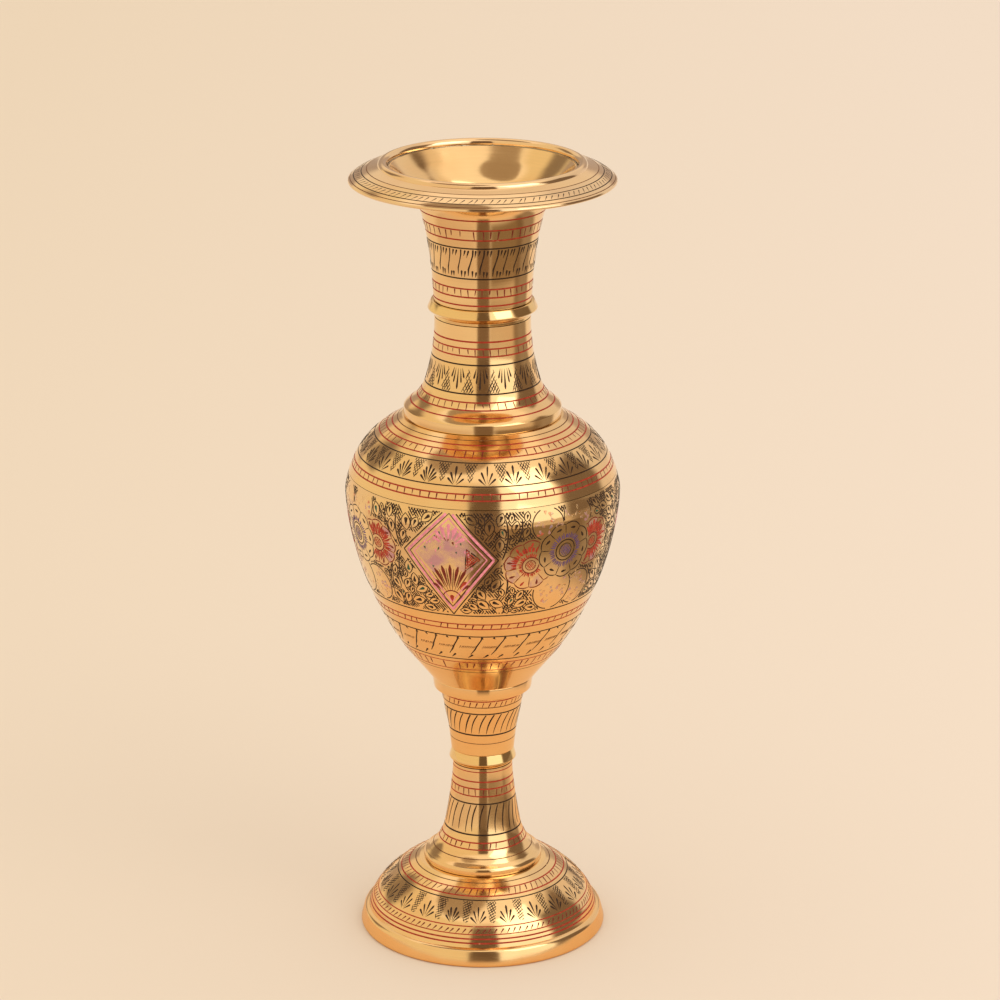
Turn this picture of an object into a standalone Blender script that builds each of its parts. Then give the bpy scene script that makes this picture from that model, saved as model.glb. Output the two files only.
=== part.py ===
"""Tall engraved brass flower vase, built from turned castings.

Ten pieces, each its own object: foot, lower_stem, stem_collar, upper_stem, bowl_lower, bowl_upper,
lower_neck, neck_collar, upper_neck and mouth_ring. The vase screws together at its two collars: a
threaded spigot on the piece above passes through the loose collar ring into the piece below. The other
seams are plain spigots in sockets, brazed on the real vase and held 0.3 mm apart here.

The origin is on the axis, at the plane the foot rests on, with +Z up. Outlines are (radius, height)
points in millimetres, and the objects are made in metres.
"""

import math

import bmesh
import bpy

MM = 0.001

# Driving dimensions, in millimetres. Heights are measured from the plane the foot rests on.
GAP = 0.3  # between neighbouring pieces
WALL = 2.2  # of the castings

FOOT_RADIUS = 71.5
FOOT_RIM_WIDTH = 5.0
FOOT_BAND_TOP = 9.9
FOOT_DOME_RADIUS = 66.7
FOOT_TOP = 40.1
STEM_FLANGE_RADIUS = 34.4
STEM_COLLAR_BOTTOM = 100.7
STEM_COLLAR_TOP = 109.0
STEM_COLLAR_RADIUS = 19.3
STEM_BAND_BOTTOM = 147.0
STEM_BAND_RADIUS = 29.1
BOWL_BOTTOM = 154.8
BOWL_FLOOR = 160.5
BOWL_SEAM = 277.7
BOWL_SEAM_RADIUS = 76.0
BOWL_RADIUS = 78.1
BOWL_TOP = 311.2
SHOULDER_RADIUS = 44.6
NECK_COLLAR_BOTTOM = 368.7
NECK_COLLAR_TOP = 378.0
NECK_COLLAR_RADIUS = 30.9
BRIM_BOTTOM = 445.3
BRIM_RADIUS = 75.0
LIP_RADIUS = 55.7
HEIGHT = 457.2

# Plain spigots, each in a socket that is one gap wider.
FOOT_SPIGOT_RADIUS = 26.0
BOWL_SPIGOT_RADIUS = 20.0
NECK_SPIGOT_RADIUS = 36.0
MOUTH_SPIGOT_RADIUS = 52.6
SPIGOT_LENGTH = 5.0
LAP_WALL = 1.7  # of the lip by which the bowl's upper half enters its lower half

# Screwed spigots: the core that carries the thread, and the bore through it.
STEM_THREAD_CORE = 13.0
STEM_THREAD_BORE = 10.0
NECK_THREAD_CORE = 23.1
NECK_THREAD_BORE = 20.8
THREAD_PITCH = 3.2
THREAD_DEPTH = 1.0
THREAD_BASE = 1.9
THREAD_CREST = 0.5
THREAD_TURNS = 2
THREAD_CLEARANCE = 0.35
THREAD_SPIGOT_LENGTH = 9.5  # below the collar
THREAD_START = 1.6  # from the spigot's end to the middle of the ridge
THREAD_START_ANGLE = 3.7  # degrees round from +X, between the facets of the turned pieces
THREAD_ROOT = 0.4  # how far the ridge sinks into the spigot that carries it
THREAD_LEAD = 0.25  # of a turn, that the groove runs on past each end of the ridge's path

SEGMENTS = 32
THREAD_SEGMENTS = 24


def clear_scene():
    for obj in list(bpy.data.objects):
        bpy.data.objects.remove(obj)


def brass(name, colour, roughness):
    material = bpy.data.materials.new(name)
    material.use_nodes = True
    shader = material.node_tree.nodes["Principled BSDF"]
    shader.inputs["Base Color"].default_value = (*colour, 1)
    shader.inputs["Metallic"].default_value = 1
    shader.inputs["Roughness"].default_value = roughness
    material.diffuse_color = (*colour, 1)
    return material


def curve(keys, steps):
    """Points along a smooth curve through the keys, with that many steps between each two."""
    def tangent(i):
        before, after = keys[max(i - 1, 0)], keys[min(i + 1, len(keys) - 1)]
        span = math.dist(before, keys[i]) + math.dist(keys[i], after)
        return [(b - a) / span for a, b in zip(before, after)]

    points = [keys[0]]
    for i in range(len(keys) - 1):
        length = math.dist(keys[i], keys[i + 1])
        leave, arrive = tangent(i), tangent(i + 1)
        for step in range(1, steps + 1):
            t = step / steps
            start_share = 2 * t**3 - 3 * t**2 + 1
            leave_share = (t**3 - 2 * t**2 + t) * length
            arrive_share = (t**3 - t**2) * length
            points.append(tuple(
                start_share * a + (1 - start_share) * b + leave_share * u + arrive_share * v
                for a, b, u, v in zip(keys[i], keys[i + 1], leave, arrive)
            ))
    return points


def arc(centre, radius, start, end, steps):
    """Points on a circle about centre, from one angle to another in degrees."""
    angles = [math.radians(start + (end - start) * i / steps) for i in range(steps + 1)]
    return [(centre[0] + radius * math.cos(a), centre[1] + radius * math.sin(a)) for a in angles]


def inset(points, distance):
    """The curve, which runs downwards, moved that far inwards from the side it faces."""
    moved = []
    for i, (radius, height) in enumerate(points):
        before, after = points[max(i - 1, 0)], points[min(i + 1, len(points) - 1)]
        along = (after[0] - before[0], after[1] - before[1])
        length = math.hypot(*along)
        moved.append((radius + distance * along[1] / length, height - distance * along[0] / length))
    return moved


def turned(name, outline, material):
    """A solid of revolution about Z. The outline runs down the outside and back up the inside."""
    mesh = bpy.data.meshes.new(name)
    points = [(radius * MM, 0, height * MM) for radius, height in outline]
    edges = [(i, i + 1) for i in range(len(points) - 1)]
    if outline[0][0] > 0:
        edges.append((len(points) - 1, 0))
    mesh.from_pydata(points, edges, [])
    mesh.materials.append(material)
    obj = bpy.data.objects.new(name, mesh)
    bpy.context.collection.objects.link(obj)
    lathe = obj.modifiers.new("lathe", "SCREW")
    lathe.axis = "Z"
    lathe.steps = SEGMENTS
    lathe.render_steps = SEGMENTS
    lathe.use_merge_vertices = True
    lathe.merge_threshold = 0.00001
    lathe.use_smooth_shade = True
    return obj


def thread(name, core, bottom, turns, grow=0.0):
    """A helical ridge on a core of that radius. grow widens it into the cutter for its groove."""
    sunk = core - THREAD_ROOT + grow
    crest = core + THREAD_DEPTH + grow
    flank = (THREAD_BASE - THREAD_CREST) / 2 / THREAD_DEPTH
    half_base = THREAD_BASE / 2 + THREAD_ROOT * flank + grow
    half_crest = THREAD_CREST / 2 + grow
    section = [(sunk, -half_base), (crest, -half_crest), (crest, half_crest), (sunk, half_base)]
    builder = bmesh.new()
    corners = [builder.verts.new((radius * MM, 0, (bottom + rise) * MM)) for radius, rise in section]
    face = builder.faces.new(corners)
    steps = math.ceil(THREAD_SEGMENTS * turns)
    bmesh.ops.spin(
        builder,
        geom=[face, *face.edges, *face.verts],
        cent=(0, 0, 0),
        axis=(0, 0, 1),
        dvec=(0, 0, THREAD_PITCH / THREAD_SEGMENTS * MM),
        angle=math.tau / THREAD_SEGMENTS * steps,
        steps=steps,
    )
    bmesh.ops.recalc_face_normals(builder, faces=builder.faces)
    mesh = bpy.data.meshes.new(name)
    builder.to_mesh(mesh)
    builder.free()
    obj = bpy.data.objects.new(name, mesh)
    bpy.context.collection.objects.link(obj)
    obj.hide_render = True
    obj.display_type = "WIRE"
    return obj


def combine(obj, other, operation):
    modifier = obj.modifiers.new(other.name, "BOOLEAN")
    modifier.operation = operation
    modifier.object = other
    modifier.solver = "EXACT"


def cut_screw_joint(male, female, core, top):
    """Gives male a thread on its spigot under top, and female the matching groove, open at top."""
    ridge_bottom = top - THREAD_SPIGOT_LENGTH + THREAD_START
    ridge = thread(male.name + "_ridge", core, ridge_bottom, THREAD_TURNS)
    ridge.rotation_euler.z = math.radians(THREAD_START_ANGLE)
    combine(male, ridge, "UNION")
    groove_bottom = ridge_bottom - THREAD_LEAD * THREAD_PITCH
    groove_turns = (top - groove_bottom) / THREAD_PITCH + 2 * THREAD_LEAD
    groove = thread(female.name + "_groove", core, groove_bottom, groove_turns, THREAD_CLEARANCE)
    groove.rotation_euler.z = ridge.rotation_euler.z - THREAD_LEAD * math.tau
    combine(female, groove, "DIFFERENCE")


def foot():
    dome = curve([(36.6, FOOT_TOP), (46.8, 34.8), (58.0, 25.2), (64.0, 17.2), (FOOT_DOME_RADIUS, 10.4)], 2)
    hole = FOOT_SPIGOT_RADIUS + GAP
    rim_inner = FOOT_RADIUS - FOOT_RIM_WIDTH
    under_dome = inset(dome, WALL)
    outline = [
        (hole, FOOT_TOP),
        *dome,
        (68.6, FOOT_BAND_TOP),
        (69.6, 8.6),
        (FOOT_RADIUS, 1.2),
        (FOOT_RADIUS - 0.9, 0),
        (rim_inner, 0),
        *reversed(under_dome[1:]),
        (hole, FOOT_TOP - WALL),
    ]
    return turned("foot", outline, brass("foot_brass", (0.80, 0.53, 0.21), 0.16))


def lower_stem():
    top = STEM_COLLAR_BOTTOM - GAP
    seat = FOOT_TOP + GAP
    side = curve([(17.2, top), (17.6, 92.7), (19.1, 79.6), (22.3, 61.2), (26.0, 52.3), (31.2, 46.4)], 2)
    spigot_bottom = seat - GAP - SPIGOT_LENGTH
    thread_bore = STEM_THREAD_CORE + THREAD_CLEARANCE
    thread_bottom = top - THREAD_SPIGOT_LENGTH - 2
    outline = [
        *side,
        (33.4, 45.0),
        (STEM_FLANGE_RADIUS, 43.6),
        (STEM_FLANGE_RADIUS, seat),
        (FOOT_SPIGOT_RADIUS, seat),
        (FOOT_SPIGOT_RADIUS, spigot_bottom),
        (FOOT_SPIGOT_RADIUS - WALL, spigot_bottom),
        (23.4, 42.0),
        (21.0, 52.0),
        (16.6, 70.0),
        (thread_bore, thread_bottom),
        (thread_bore, top),
    ]
    return turned("lower_stem", outline, brass("lower_stem_brass", (0.81, 0.54, 0.22), 0.15))


def collar_ring(name, bore, top, edge, bottom, shade):
    """A ring whose side flares down to a sharp edge and is cut back below it."""
    edge_radius, edge_height = edge
    bottom_radius, bottom_height = bottom
    waist = (bottom_radius + 0.3, bottom_height + 0.4 * (edge_height - bottom_height))
    outline = [
        top,
        (edge_radius, edge_height + 0.6),
        (edge_radius, edge_height),
        waist,
        bottom,
        (bore, bottom_height),
        (bore, top[1]),
    ]
    return turned(name, outline, brass(name + "_brass", shade, 0.1))


def stem_collar():
    bore = STEM_THREAD_CORE + THREAD_DEPTH + 0.4
    return collar_ring(
        "stem_collar",
        bore,
        top=(17.8, STEM_COLLAR_TOP),
        edge=(STEM_COLLAR_RADIUS, 103.2),
        bottom=(17.1, STEM_COLLAR_BOTTOM),
        shade=(0.84, 0.60, 0.28),
    )


def upper_stem():
    top = BOWL_BOTTOM - GAP
    seat = STEM_COLLAR_TOP + GAP
    side = curve([(24.4, STEM_BAND_BOTTOM - 0.5), (22.4, 136.2), (19.8, 123.0), (18.2, seat)], 2)
    socket = BOWL_SPIGOT_RADIUS + GAP
    socket_floor = BOWL_BOTTOM - 2 * SPIGOT_LENGTH - GAP
    spigot_bottom = STEM_COLLAR_BOTTOM - GAP - THREAD_SPIGOT_LENGTH
    outline = [
        (STEM_BAND_RADIUS - 0.5, top),
        (STEM_BAND_RADIUS, top - 0.6),
        (28.2, STEM_BAND_BOTTOM + 0.5),
        (27.6, STEM_BAND_BOTTOM),
        *side,
        (STEM_THREAD_CORE, seat),
        (STEM_THREAD_CORE, spigot_bottom),
        (STEM_THREAD_BORE, spigot_bottom),
        (STEM_THREAD_BORE, seat),
        (15.8, 119.0),
        (18.4, 134.0),
        (18.8, socket_floor),
        (socket, socket_floor),
        (socket, top),
    ]
    return turned("upper_stem", outline, brass("upper_stem_brass", (0.80, 0.53, 0.20), 0.16))


def bowl_side():
    """The bowl's outside below its seam, from the seam down to its foot."""
    keys = [
        (BOWL_SEAM_RADIUS, BOWL_SEAM),
        (BOWL_RADIUS, 266.5),
        (74.4, 240.0),
        (65.8, 212.4),
        (49.6, 180.6),
        (30.0, BOWL_BOTTOM),
    ]
    return curve(keys, 2)


def bowl_lower():
    side = bowl_side()
    inner = inset(side, WALL)
    spigot_bottom = BOWL_BOTTOM - 2 * SPIGOT_LENGTH
    floor_underside = BOWL_BOTTOM - 0.8
    outline = [
        (0, BOWL_FLOOR),
        (24.0, BOWL_FLOOR + 0.6),
        *reversed(inner[1:-1]),
        (BOWL_SEAM_RADIUS - WALL, BOWL_SEAM),
        *side,
        (BOWL_SPIGOT_RADIUS, BOWL_BOTTOM),
        (BOWL_SPIGOT_RADIUS, spigot_bottom),
        (BOWL_SPIGOT_RADIUS - WALL, spigot_bottom),
        (BOWL_SPIGOT_RADIUS - WALL, floor_underside),
        (0, floor_underside),
    ]
    return turned("bowl_lower", outline, brass("bowl_lower_brass", (0.79, 0.53, 0.22), 0.17))


def bowl_upper():
    bottom = BOWL_SEAM + GAP
    side = curve([(45.8, BOWL_TOP - 0.2), (61.2, 300.5), (70.6, 289.7), (BOWL_SEAM_RADIUS, bottom)], 3)
    inner = inset(side, WALL)
    lap = BOWL_SEAM_RADIUS - WALL - GAP
    hole = NECK_SPIGOT_RADIUS + GAP
    outline = [
        (hole, BOWL_TOP),
        *side,
        (lap, bottom),
        (lap, bottom - SPIGOT_LENGTH),
        (lap - LAP_WALL, bottom - SPIGOT_LENGTH),
        *reversed(inner[1:-1]),
        (hole, BOWL_TOP - WALL),
    ]
    return turned("bowl_upper", outline, brass("bowl_upper_brass", (0.80, 0.54, 0.23), 0.17))


def lower_neck():
    top = NECK_COLLAR_BOTTOM - GAP
    seat = BOWL_TOP + GAP
    side = curve([(27.1, top), (27.5, 358.0), (28.9, 346.5), (32.6, 331.3), (36.8, 323.4), (43.4, 317.7)], 2)
    spigot_bottom = BOWL_TOP - SPIGOT_LENGTH
    thread_bore = NECK_THREAD_CORE + THREAD_CLEARANCE
    thread_bottom = top - THREAD_SPIGOT_LENGTH - 2
    outline = [
        *side,
        (SHOULDER_RADIUS, 316.4),
        (SHOULDER_RADIUS, seat),
        (NECK_SPIGOT_RADIUS, seat),
        (NECK_SPIGOT_RADIUS, spigot_bottom),
        (NECK_SPIGOT_RADIUS - WALL, spigot_bottom),
        (33.6, 315.0),
        (28.6, 329.0),
        (25.8, 342.0),
        (thread_bore, thread_bottom),
        (thread_bore, top),
    ]
    return turned("lower_neck", outline, brass("lower_neck_brass", (0.81, 0.55, 0.23), 0.15))


def neck_collar():
    bore = NECK_THREAD_CORE + THREAD_DEPTH + 0.4
    return collar_ring(
        "neck_collar",
        bore,
        top=(29.0, NECK_COLLAR_TOP),
        edge=(NECK_COLLAR_RADIUS, 373.2),
        bottom=(27.1, NECK_COLLAR_BOTTOM),
        shade=(0.84, 0.60, 0.29),
    )


def upper_neck():
    seat = NECK_COLLAR_TOP + GAP
    spigot_bottom = NECK_COLLAR_BOTTOM - GAP - THREAD_SPIGOT_LENGTH
    rim_top = 453.6
    outside = curve([(43.6, 442.6), (36.4, 433.0), (32.1, 418.6), (28.9, 397.6), (27.6, seat)], 2)
    bore_top = NECK_COLLAR_BOTTOM + 1.6
    funnel = [
        (NECK_THREAD_BORE, bore_top),
        (25.6, 390.0),
        (29.0, 416.0),
        (34.4, 434.0),
        (45.0, 446.0),
        (51.4, rim_top),
    ]
    outline = [
        (MOUTH_SPIGOT_RADIUS, rim_top),
        (MOUTH_SPIGOT_RADIUS, 448.2),
        *outside,
        (NECK_THREAD_CORE, seat),
        (NECK_THREAD_CORE, spigot_bottom),
        (NECK_THREAD_BORE, spigot_bottom),
        *curve(funnel, 2),
    ]
    return turned("upper_neck", outline, brass("upper_neck_brass", (0.79, 0.53, 0.23), 0.15))


def mouth_ring():
    bore = MOUTH_SPIGOT_RADIUS + GAP
    bead = LIP_RADIUS - bore
    outline = [
        *arc((LIP_RADIUS, HEIGHT - bead), bead, 180, 0, 6),
        (60.4, 453.9),
        *curve([(64.2, 453.0), (71.2, 449.6), (BRIM_RADIUS - 0.4, 447.2)], 2),
        (BRIM_RADIUS, 446.2),
        (BRIM_RADIUS - 1.0, BRIM_BOTTOM),
        (bore, BRIM_BOTTOM + 1.6),
    ]
    return turned("mouth_ring", outline, brass("mouth_ring_brass", (0.82, 0.56, 0.25), 0.14))


def build():
    clear_scene()
    foot()
    below = lower_stem()
    stem_collar()
    above = upper_stem()
    cut_screw_joint(above, below, STEM_THREAD_CORE, STEM_COLLAR_BOTTOM - GAP)
    bowl_lower()
    bowl_upper()
    below = lower_neck()
    neck_collar()
    above = upper_neck()
    cut_screw_joint(above, below, NECK_THREAD_CORE, NECK_COLLAR_BOTTOM - GAP)
    mouth_ring()


build()
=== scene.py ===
"""The looks of the engraved brass vase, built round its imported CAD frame.

Each turned casting is a fine lathe mesh whose ring lines are real grooves, with lacquer on the groove's
walls. Every other engraved mark is a small closed body let into the brass: the marks of one colour on one
casting make one piece. Lengths are in millimetres until a mesh is made. Round the vase, angle 0 faces -Y,
towards the viewer, and turns towards +X.
"""

import math
import random

import bpy
import numpy as np
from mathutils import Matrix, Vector, noise
from mathutils.geometry import delaunay_2d_cdt


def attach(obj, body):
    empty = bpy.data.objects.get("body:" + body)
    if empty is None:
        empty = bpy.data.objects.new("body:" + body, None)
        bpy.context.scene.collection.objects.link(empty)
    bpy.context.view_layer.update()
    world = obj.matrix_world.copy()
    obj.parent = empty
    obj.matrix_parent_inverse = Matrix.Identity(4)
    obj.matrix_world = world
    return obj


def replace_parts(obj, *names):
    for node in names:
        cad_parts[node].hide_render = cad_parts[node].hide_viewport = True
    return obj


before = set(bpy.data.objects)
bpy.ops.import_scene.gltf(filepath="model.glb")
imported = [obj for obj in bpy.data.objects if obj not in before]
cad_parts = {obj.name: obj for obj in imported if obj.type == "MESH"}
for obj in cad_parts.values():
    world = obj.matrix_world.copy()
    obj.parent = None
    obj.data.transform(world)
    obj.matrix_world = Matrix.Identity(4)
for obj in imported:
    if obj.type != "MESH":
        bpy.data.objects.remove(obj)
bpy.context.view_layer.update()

MM = 0.001
TURN = math.tau
SEGMENTS = 192  # facets round a turned mesh
WALL = 2.2
THREAD_PITCH = 3.2
THREAD_START = math.radians(3.7)
RING_SCALE = 1.12  # the ring lines against the widths written for them
CUT_SCALE = 1.22  # the same for the hand-cut marks
chance = random.Random(7)


# Points and outlines


def sector(angle):
    """The direction that many degrees round from the x axis."""
    return math.cos(math.radians(angle)), math.sin(math.radians(angle))


def pointing(tilt):
    """The direction of a tilt on a band: 0 points up, 90 right."""
    return math.sin(math.radians(tilt)), -math.cos(math.radians(tilt))


def moved(point, way, distance):
    return point[0] + way[0] * distance, point[1] + way[1] * distance


def toward(a, b, share):
    """The point that share of the way from a to b."""
    return a[0] + (b[0] - a[0]) * share, a[1] + (b[1] - a[1]) * share


def middle_of(corners):
    return [sum(corner[k] for corner in corners) / len(corners) for k in (0, 1)]


def sides(corners):
    """The two ends of each side of a closed outline."""
    return zip(corners, corners[1:] + corners[:1])


def round_axis(radius, angle, height):
    return radius * math.cos(angle), radius * math.sin(angle), height


def stretches(path, kept, least, most=math.inf):
    """The runs of neighbouring points that kept accepts, with at least that many points in each."""
    run = []
    for point in [*path, None]:
        if point is not None and kept(point) and len(run) < most:
            run.append(point)
            continue
        if len(run) >= least:
            yield run
        run = []


def curve(keys, steps):
    """Points along a smooth curve through the keys, with that many steps between each two."""
    def tangent(i):
        before, after = keys[max(i - 1, 0)], keys[min(i + 1, len(keys) - 1)]
        span = math.dist(before, keys[i]) + math.dist(keys[i], after)
        return [(b - a) / span for a, b in zip(before, after)]

    points = [keys[0]]
    for i in range(len(keys) - 1):
        length = math.dist(keys[i], keys[i + 1])
        leave, arrive = tangent(i), tangent(i + 1)
        for step in range(1, steps + 1):
            t = step / steps
            start_share = 2 * t**3 - 3 * t**2 + 1
            leave_share = (t**3 - 2 * t**2 + t) * length
            arrive_share = (t**3 - t**2) * length
            points.append(tuple(
                start_share * a + (1 - start_share) * b + leave_share * u + arrive_share * v
                for a, b, u, v in zip(keys[i], keys[i + 1], leave, arrive)
            ))
    return points


def arc(centre, radius, start, end, steps):
    return [moved(centre, sector(start + (end - start) * i / steps), radius) for i in range(steps + 1)]


def inset(points, distance):
    """The curve, which runs downwards, moved that far inwards from the side it faces."""
    inner = []
    for i, point in enumerate(points):
        before, after = points[max(i - 1, 0)], points[min(i + 1, len(points) - 1)]
        along = (after[0] - before[0], after[1] - before[1])
        inner.append(moved(point, (along[1], -along[0]), distance / math.hypot(*along)))
    return inner


def eased(points, size):
    """The points with each inner corner rounded off over that distance."""
    smooth = [points[0]]
    for before, corner, after in zip(points, points[1:], points[2:]):
        start, end = (
            toward(corner, other, min(size / math.dist(corner, other), 0.45)) for other in (before, after)
        )
        smooth += [toward(toward(start, corner, t), toward(corner, end, t), t) for t in (0, 0.33, 0.67, 1)]
    return [*smooth, points[-1]]


class Side:
    """The engraved outside of one casting, as a line down it from top to bottom."""

    def __init__(self, points):
        self.points = np.array(points, float)
        steps = np.linalg.norm(np.diff(self.points, axis=0), axis=1)
        self.run = np.concatenate([[0], np.cumsum(steps)])

    def run_at(self, height):
        return float(np.interp(-height, -self.points[:, 1], self.run))

    def at(self, run):
        return np.interp(run, self.run, self.points[:, 0]), np.interp(run, self.run, self.points[:, 1])

    def facing(self, run):
        """The outward normal, as (radius, height) parts."""
        run = np.clip(run, 0, self.run[-1])
        before, after = self.at(np.maximum(run - 0.5, 0)), self.at(np.minimum(run + 0.5, self.run[-1]))
        along_r, along_z = after[0] - before[0], after[1] - before[1]
        length = np.hypot(along_r, along_z)
        return -along_z / length, along_r / length

    def engraved(self, **lines):
        """The side as (radius, height, paint), with grooves: each paint's lines are (height, width) pairs."""
        cuts = [
            (self.run_at(height), RING_SCALE * width, paint)
            for paint in lines for height, width in lines[paint]
        ]
        marks = [
            (run, radius, height, None)
            for run, (radius, height) in zip(self.run, self.points)
            if all(abs(run - middle) > 0.62 * width for middle, width, _ in cuts)
        ]
        for middle, width, paint in cuts:
            out = self.facing(middle)
            for share, depth, after in (
                (-0.5, 0, paint), (-0.22, 0.3, paint), (0.22, 0.3, paint), (0.5, 0, None),
            ):
                run = middle + share * width
                marks.append((run, *moved(self.at(run), out, -depth * width), after))
        marks.sort(key=lambda mark: mark[0])
        return [mark[1:] for mark in marks]


# Materials


class Shader:
    """A material's node tree, with short ways to add and join nodes."""

    def __init__(self, name):
        self.material = bpy.data.materials.new(name)
        self.material.use_nodes = True
        self.tree = self.material.node_tree
        self.surface = self.tree.nodes["Principled BSDF"]

    def add(self, kind, values=(), **settings):
        node = self.tree.nodes.new(kind)
        for name, value in settings.items():
            setattr(node, name, value)
        for key, value in dict(values).items():
            self.feed(node.inputs[key], value)
        return node

    def feed(self, socket, value):
        if isinstance(value, bpy.types.NodeSocket):
            self.tree.links.new(value, socket)
        else:
            socket.default_value = value

    def made(self, values):
        """The material, with the values fed to its surface."""
        for name, value in values.items():
            self.feed(self.surface.inputs[name], value)
        return self.material

    def math(self, operation, *values):
        return self.add("ShaderNodeMath", dict(enumerate(values)), operation=operation).outputs[0]

    def noise(self, vector, scale, detail=2.0, rough=0.5):
        values = {"Vector": vector, "Scale": scale, "Detail": detail, "Roughness": rough}
        return self.add("ShaderNodeTexNoise", values).outputs["Fac"]

    def ramp(self, factor, *stops):
        """Maps factor through (position, grey) stops."""
        node = self.add("ShaderNodeValToRGB", {"Fac": factor})
        for element, (position, grey) in zip(node.color_ramp.elements, stops):
            element.position = position
            element.color = (grey, grey, grey, 1)
        return node.outputs["Color"]

    def mix(self, factor, a, b):
        node = self.add("ShaderNodeMix", {0: factor}, data_type="RGBA")
        for socket, value in ((node.inputs[6], a), (node.inputs[7], b)):
            self.feed(socket, value if isinstance(value, bpy.types.NodeSocket) else (*value, 1))
        return node.outputs[2]

    def bump(self, height, strength, distance):
        values = {"Height": height, "Strength": strength, "Distance": distance}
        return self.add("ShaderNodeBump", values).outputs[0]

    def parts(self, output):
        """A texture coordinate and its x, y and z."""
        place = self.add("ShaderNodeTexCoord").outputs[output]
        return place, *self.add("ShaderNodeSeparateXYZ", {0: place}).outputs

    def reach(self, x, y):
        return self.math("SQRT", self.math("ADD", self.math("POWER", x, 2), self.math("POWER", y, 2)))

    def heading(self, x, y):
        """The angle round from the viewer's side, towards +X."""
        return self.math("ARCTAN2", x, self.math("MULTIPLY", y, -1.0))

    def place_and_rings(self):
        """Plain vectors, and ones that vary fast with radius and height and slowly round the axis."""
        place, x, y, z = self.parts("Object")
        slow = self.math("MULTIPLY", self.math("ARCTAN2", y, x), 0.0012)
        return place, self.add("ShaderNodeCombineXYZ", {0: self.reach(x, y), 1: z, 2: slow}).outputs[0]


def polished_brass(name, colour, red, shine):
    """Lathe-polished brass: turning marks, faint hand waviness, smudges and a little red in the patina."""
    shader = Shader(name)
    place, rings = shader.place_and_rings()
    warm = shader.mix(shader.ramp(shader.noise(place, 38, 3), (0.38, 0.0), (0.68, 1.0)), colour, red)
    streak = shader.ramp(shader.noise(rings, 900, 3, 0.6), (0.35, 0.0), (0.75, 1.0))
    deep = tuple(0.86 * part for part in colour)
    scratch = shader.ramp(shader.noise(rings, 2600, 2, 0.7), (0.5, 0.0), (0.8, 1.0))
    smudged = shader.math("MULTIPLY_ADD", shader.noise(place, 95, 4, 0.6), 0.09, shine - 0.045)
    height = 0
    for vector, scale, detail, rough, size in (
        (place, 55, 1, 0.5, 0.00006), (rings, 420, 2, 0.5, 0.0000085), (rings, 3200, 2, 0.6, 0.0000008),
    ):
        height = shader.math("MULTIPLY_ADD", shader.noise(vector, scale, detail, rough), size, height)
    return shader.made({
        "Base Color": shader.mix(shader.math("MULTIPLY", streak, 0.35), warm, deep),
        "Metallic": 1,
        "Roughness": shader.math("MULTIPLY_ADD", scratch, 0.06, smudged),
        "Coat Weight": 0.12,
        "Coat Roughness": 0.08,
        "Normal": shader.bump(height, 1.0, 1.0),
    })


def lacquer(name, colour, worn, cover):
    """Lacquer rubbed into a cut: uneven in depth, glossy, and worn through to brass here and there."""
    shader = Shader(name)
    place, _ = shader.place_and_rings()
    depth = shader.ramp(shader.noise(place, 420, 3), (0.3, 0.0), (0.7, 1.0))
    paler = tuple(min(1, 1.5 * part + 0.012) for part in colour)
    wear = shader.ramp(shader.noise(place, 170, 4, 0.6), (cover - 0.04, 0.0), (cover + 0.06, 1.0))
    return shader.made({
        "Base Color": shader.mix(wear, shader.mix(depth, colour, paler), worn),
        "Metallic": wear,
        "Roughness": shader.math("MULTIPLY_ADD", depth, 0.15, 0.32),
        "Specular IOR Level": 0.15,
        "Coat Weight": 0.03,
        "Coat Roughness": 0.12,
        "Normal": shader.bump(shader.noise(place, 900, 2), 0.35, 0.0001),
    })


def washed(name, colour, brass, cover):
    """Thin see-through lacquer left on polished brass, patchy where it was wiped back."""
    shader = Shader(name)
    place, rings = shader.place_and_rings()
    patch = shader.ramp(shader.noise(place, 120, 4, 0.6), (cover - 0.14, 1.0), (cover + 0.14, 0.0))
    return shader.made({
        "Base Color": shader.mix(patch, brass, colour),
        "Metallic": shader.math("MULTIPLY_ADD", patch, -0.55, 1.0),
        "Roughness": shader.math("MULTIPLY_ADD", patch, 0.16, 0.14),
        "Coat Weight": 0.2,
        "Normal": shader.bump(shader.noise(rings, 1400, 2), 0.2, 0.00005),
    })


BRASS = (0.96, 0.70, 0.37)
BRASS_RED = (0.95, 0.64, 0.32)
PAINTS = {
    "brass": polished_brass("brass_body", BRASS, BRASS_RED, 0.12),
    "brass_pink": polished_brass("brass_mouth", (0.95, 0.72, 0.44), (0.93, 0.66, 0.40), 0.09),
    "brass_deep": polished_brass("brass_collar", (0.94, 0.70, 0.33), BRASS_RED, 0.08),
    "red": lacquer("red_fill", (0.33, 0.030, 0.012), BRASS, 0.70),
    "black": lacquer("black_fill", (0.030, 0.013, 0.005), BRASS, 0.76),
    "dark_red": lacquer("dark_red_fill", (0.15, 0.018, 0.008), BRASS, 0.76),
    "brown": lacquer("brown_fill", (0.14, 0.05, 0.012), BRASS, 0.70),
    "green": lacquer("green_fill", (0.020, 0.075, 0.040), BRASS, 0.72),
    "pink": lacquer("pink_fill", (0.62, 0.21, 0.27), BRASS, 0.72),
    "purple": lacquer("purple_fill", (0.085, 0.045, 0.13), BRASS, 0.72),
    "pink_wash": washed("pink_wash", (0.58, 0.30, 0.32), BRASS, 0.52),
    "red_wash": washed("red_wash", (0.62, 0.10, 0.05), BRASS, 0.48),
    "purple_wash": washed("purple_wash", (0.42, 0.28, 0.38), BRASS, 0.44),
    "solder": polished_brass("solder_seam", (0.42, 0.36, 0.27), (0.20, 0.15, 0.09), 0.34),
}
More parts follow.
